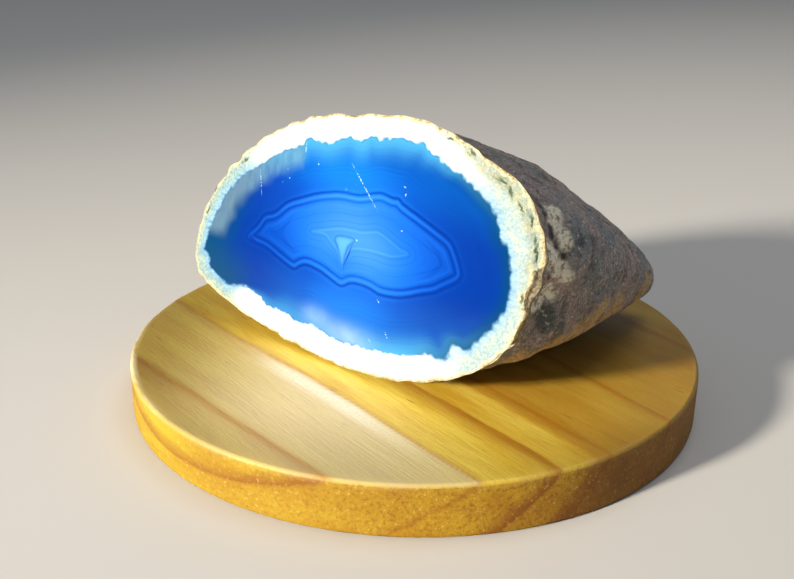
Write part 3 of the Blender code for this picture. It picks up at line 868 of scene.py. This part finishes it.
def wood_fields(place):
    """What the wood is at each point, in millimetres: its ring, its place in the grain, and shares from 0 to 1.

    The pale band is at the left, thins out backward and has a darker thread in it; its pale
    colour is painted sheen, and a streak of painted sheen lies along its edge. Painted shade
    darkens the top most at the left, the right and the front. The brink is the rubbed upper edge, which shows
    at the left front.
    """
    x, y, z = place.T
    ring, across, along, steady = growth_rings(place)
    up = rise(z, 8.0, 8.6)
    # The pale band is painted sheen laid into the wood's colour.
    pale = rise(-24.3 - steady, 0.0, 0.5) * (0.35 + 0.65 * rise(along, -28, 12))
    pale *= (0.75 + 0.25 * rise(steady, -44, -38)) * up
    pale *= 1 - 0.65 * np.exp(-(((steady + 41.2) / 0.9) ** 2))
    # A streak of painted sheen along the pale band's edge.
    painted_sheen_streak = rise(steady, -28.6, -26.4) * rise(-steady, 24.6, 25.3) * up
    painted_sheen_streak *= rise(along, -14, 2) * (1 - rise(along, 14, 40))
    # Painted shade: the top darkens toward its left, right and front, where the light falls off.
    painted_shade = rise(-x, 18, 48) + 0.62 * rise(x, 8, 42) + 0.6 * rise(-y, 26, 50)
    brink = rise(np.hypot(x, y), 49.4, 50.3) * rise(z, 7.4, 8.2)
    brink *= 0.12 + 0.88 * rise(-x, 36, 44) * rise(-y, -6, 4)
    return dict(
        ring_mm=ring, pale=pale, painted_sheen_streak=painted_sheen_streak, side=1 - up, brink=brink, painted_shade=np.clip(painted_shade, 0, 1) * up,
        end_grain=np.abs(along) / (STAND_RADIUS * 1000) * (1 - up),
        grain_mm=np.stack([across, along, z], axis=1),
    )


def make_stand():
    """The profile turned about the upright axis and closed at both middles.

    Its edges are worn where grit is high, most at the top, and its rim has a little
    grit of its own.
    """
    profile = stand_profile()
    angle = np.linspace(0.0, 2 * math.pi, STAND_SECTORS, endpoint=False)
    round_about = np.stack([np.cos(angle), np.sin(angle)], axis=1)
    rings = np.empty((len(profile) - 2, STAND_SECTORS, 3))
    rings[..., :2] = profile[1:-1, 0][:, None, None] * round_about
    rings[..., 2] = profile[1:-1, 1][:, None]
    radius = np.hypot(rings[..., 0], rings[..., 1])
    at_rim = rise(radius, STAND_RADIUS - 2.5 * EDGE_ROUND, STAND_RADIUS)
    high = rise(rings[..., 2], STAND_THICKNESS - 2.0 * EDGE_ROUND, STAND_THICKNESS)
    wear_and_sheen = at_rim * high * EDGE_WEAR * (0.5 + 0.5 * grit(rings, 0.0035, 51))
    rough = at_rim * RIM_GRIT * (grit(rings, 0.0011, 52) + grit(rings, 0.0006, 53))
    rings[..., :2] *= (1 - (wear_and_sheen + 2 * RIM_GRIT * at_rim + np.abs(rough)) / np.maximum(radius, 1e-6))[..., None]
    rings[..., 2] -= 0.6 * wear_and_sheen

    points = np.concatenate([rings.reshape(-1, 3), [(0, 0, profile[0, 1]), (0, 0, profile[-1, 1])]])
    column = np.arange(STAND_SECTORS)
    beside = (column + 1) % STAND_SECTORS
    low = np.arange(len(rings) - 1)[:, None] * STAND_SECTORS
    up = low + STAND_SECTORS
    sides = np.stack([low + column, low + beside, up + beside, up + column], axis=-1)
    last = (len(rings) - 1) * STAND_SECTORS
    floor_cap = np.stack([np.full(STAND_SECTORS, len(points) - 2), beside, column], axis=-1)
    top_cap = np.stack([last + column, last + beside, np.full(STAND_SECTORS, len(points) - 1)], axis=-1)
    mesh = bpy.data.meshes.new("pine_stand")
    mesh.from_pydata(points.tolist(), [], sides.reshape(-1, 4).tolist() + floor_cap.tolist() + top_cap.tolist())
    mesh.shade_smooth()
    keep_fields(mesh, wood_fields(points * 1000))
    return put_in_scene("pine_stand", mesh)


def varnished_pine():
    """Pine: wide pale earlywood that darkens to an orange latewood line at the end of each ring.

    The colour runs with the ring's radius. Fibres are noise drawn out along the grain,
    so they show as streaks on the top and as dots on the end grain, which drinks more
    varnish and goes darker.
    """
    made, tree, shader = start_material("varnished_pine")
    ring, pale, painted_sheen_streak, side, end_grain, painted_shade, brink = (
        add(tree, "Attribute", out="Fac", attribute_name=name)
        for name in ("ring_mm", "pale", "painted_sheen_streak", "side", "end_grain", "painted_shade", "brink"))
    grain = add(tree, "Attribute", out="Vector", attribute_name="grain_mm")
    # Noises drawn out along the grain: how many to a millimetre, detail and roughness.
    drawn_out = []
    for scale, detail, roughness in (
            ((0.22, 0.035, 0.22), 4.0, 0.6), ((2.6, 0.16, 2.6), 4.0, 0.65), ((2.2, 0.17, 2.2), 1.5, 0.5)):
        along = add(tree, "Mapping", {"Vector": grain, "Scale": scale})
        drawn_out.append(add(tree, "TexNoise", dict(zip(NOISE, (along, 1.0, detail, roughness)))))
    broad, fibre, pores = drawn_out
    flecks = add(tree, "TexNoise", dict(zip(NOISE, (grain, 1.6, 4.0, 0.7))))

    # Each ring: how far before its edge it starts to darken, the edge, its latewood and the next earlywood.
    # The fibres shift the radius by 0.55 mm on average, which the range takes off.
    radius = add(tree, "Math", {0: fibre, 1: 1.1, 2: ring}, **TIMES_PLUS)
    radius = add(tree, "MapRange", {0: radius, 1: 100.55, 2: 180.55})
    # The golden earlywood after the 118.7 mm ring is partly its own tone and partly painted light; the later
    # earlywood of the outer rings, toward the right, is partly its own tone and partly painted shade.
    early, golden, later, mid, amber, late = "#e2c450", "#ead058", "#c39d3a", "#cfa033", "#c08a2c", "#b47d24"
    stops = []
    for before, edge, colour, next_early in (
            (1.2, 102.0, mid, early), (2.2, 109.0, amber, early), (0.7, 118.7, mid, golden),
            (2.9, 126.7, late, early), (0.7, 131.6, mid, later), (1.3, 133.4, late, later),
            (1.5, 145.6, late, later), (1.4, 155.0, mid, later), (2.0, 166.0, late, later),
            (1.8, 175.5, mid, later)):
        last = stops[-1][1] if stops else early
        stops += [(edge - before, last), (edge - 0.2, colour), (edge + 0.2, next_early)]
    wood = add(tree, "ValToRGB", {0: radius}, stops=[((mm - 100) / 80, colour) for mm, colour in stops])

    # The top: broad tints, fibres, pores, and the pale band and a streak along its edge, both painted sheen.
    drift = add(tree, "MapRange", {0: broad, 1: 0.30, 2: 0.62})
    tinted = add(tree, "Mix", {0: 1.0, 6: wood, 7: "#ead6a4"}, **RGBA, blend_type="MULTIPLY")
    thread = add(tree, "MapRange", {0: fibre, 1: 0.50, 2: 0.68, 4: 0.38})
    dashes = add(tree, "MapRange", {0: pores, 1: 0.735, 2: 0.775, 4: 0.75})
    # Painted sheen: the pale band's colour, and bright flecks along its edge.
    wear_and_sheen = add(tree, "Math", {0: pale, 1: 0.62}, **TIMES)
    painted_glare = add(tree, "Math", {0: flecks, 1: painted_sheen_streak}, **TIMES)
    for share, colour in (
            (drift, tinted), (thread, "#b9862f"), (dashes, "#7d4a18"), (wear_and_sheen, "#dccda2"), (painted_glare, "#fff6dc")):
        wood = add(tree, "Mix", {0: share, 6: wood, 7: colour}, **RGBA)
    # Painted shade at the top's left, right and front, then the side: darker end grain with dots, chalky dust,
    # and a rubbed upper edge.
    ends = add(tree, "Mix", {0: end_grain, 6: "#b4b66a", 7: "#b09a48"}, **RGBA)
    for share, colour in ((painted_shade, "#ada881"), (side, ends)):
        wood = add(tree, "Mix", {0: share, 6: wood, 7: colour}, **RGBA, blend_type="MULTIPLY")
    dots = add(tree, "MapRange", {0: flecks, 1: 0.52, 2: 0.62, 4: 0.7})
    chalk = add(tree, "MapRange", {0: flecks, 1: 0.40, 2: 0.32, 4: 0.35})
    rubbed = add(tree, "MapRange", {0: broad, 1: 0.44, 2: 0.60, 3: 0.15, 4: 0.8})
    for share, limit, colour in (
            (dots, end_grain, "#6b3f18"), (chalk, side, "#d9b878"), (rubbed, brink, "#cfc093")):
        share = add(tree, "Math", {0: share, 1: limit}, **TIMES)
        wood = add(tree, "Mix", {0: share, 6: wood, 7: colour}, **RGBA)

    gloss = add(tree, "MapRange", {0: flecks, 1: 0.3, 2: 0.7, 3: 0.36, 4: 0.48})
    gloss = add(tree, "Math", {0: side, 1: 0.25, 2: gloss}, **TIMES_PLUS)
    height = add(tree, "Math", {0: flecks, 1: 0.4, 2: fibre}, **TIMES_PLUS)
    bump = add(tree, "Bump", {"Height": height, "Strength": 0.5, "Distance": 0.00012})
    plug(tree, shader, {"Base Color": wood, "Roughness": gloss, "Specular IOR Level": 0.3, "Normal": bump})
    return made


stand = make_stand()
stand.data.materials.append(varnished_pine())
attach(stand, "root")
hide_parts("wooden_stand")
